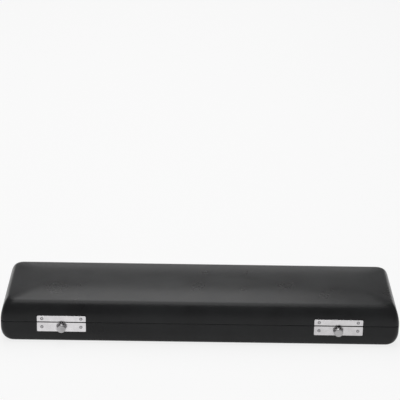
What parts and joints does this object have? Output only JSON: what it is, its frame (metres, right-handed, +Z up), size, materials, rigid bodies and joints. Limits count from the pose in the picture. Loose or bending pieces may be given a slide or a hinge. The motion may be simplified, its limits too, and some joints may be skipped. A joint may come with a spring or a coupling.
{
  "type": "flute case",
  "caption": "Slim black leatherette hard case with a padded hinged lid, push-button latches and a fitted plush block for a flute's joints.",
  "frame": {"origin": "centre of the underside, on the surface that the case lies on", "axes": "+X along the case, +Z up, and the latches face -Y"},
  "size_m": [0.4, 0.1169, 0.0482],
  "materials": {
    "leatherette": "black leatherette with a fine grain, satin",
    "wood": "bare plywood and moulded wood",
    "plush": "dark blue plush",
    "foam": "soft foam sheet",
    "nickel": "polished nickel plate",
    "steel": "bright zinc-plated steel"
  },
  "bodies": {
    "base": {"base_shell": "wood", "base_cover": "leatherette", "base_underside": "leatherette", "base_lining": "plush", "insert_block": "plush", "latch_plate_left": "nickel", "latch_box_left": "steel", "latch_spring_left": "steel", "hinge_leaf_base_left": "nickel", "hinge_pin_left": "steel", "latch_plate_right": "nickel", "latch_box_right": "steel", "latch_spring_right": "steel", "hinge_leaf_base_right": "nickel", "hinge_pin_right": "steel"},
    "lid": {"lid_shell": "wood", "lid_pad": "foam", "lid_cover": "leatherette", "lid_lining": "plush", "strike_plate_left": "nickel", "hinge_leaf_lid_left": "nickel", "strike_plate_right": "nickel", "hinge_leaf_lid_right": "nickel"},
    "latch_left": {"latch_knob_left": "nickel", "latch_catch_left": "steel"},
    "latch_right": {"latch_knob_right": "nickel", "latch_catch_right": "steel"}
  },
  "joints": [
    {"name": "lid_hinge", "type": "hinge", "parent": "base", "child": "lid", "pos_m": [0, 0.0556, 0.02415], "axis": [-1, 0, 0], "range_deg": [0, 100]},
    {"name": "latch_left_push", "type": "slide", "parent": "base", "child": "latch_left", "axis": [0, 1, 0], "range_m": [0, 0.0014], "stiffness_N_per_m": 400, "springref_m": -0.003, "deforming": ["latch_spring_left"]},
    {"name": "latch_right_push", "type": "slide", "parent": "base", "child": "latch_right", "axis": [0, 1, 0], "range_m": [0, 0.0014], "stiffness_N_per_m": 400, "springref_m": -0.003, "deforming": ["latch_spring_right"]}
  ]
}
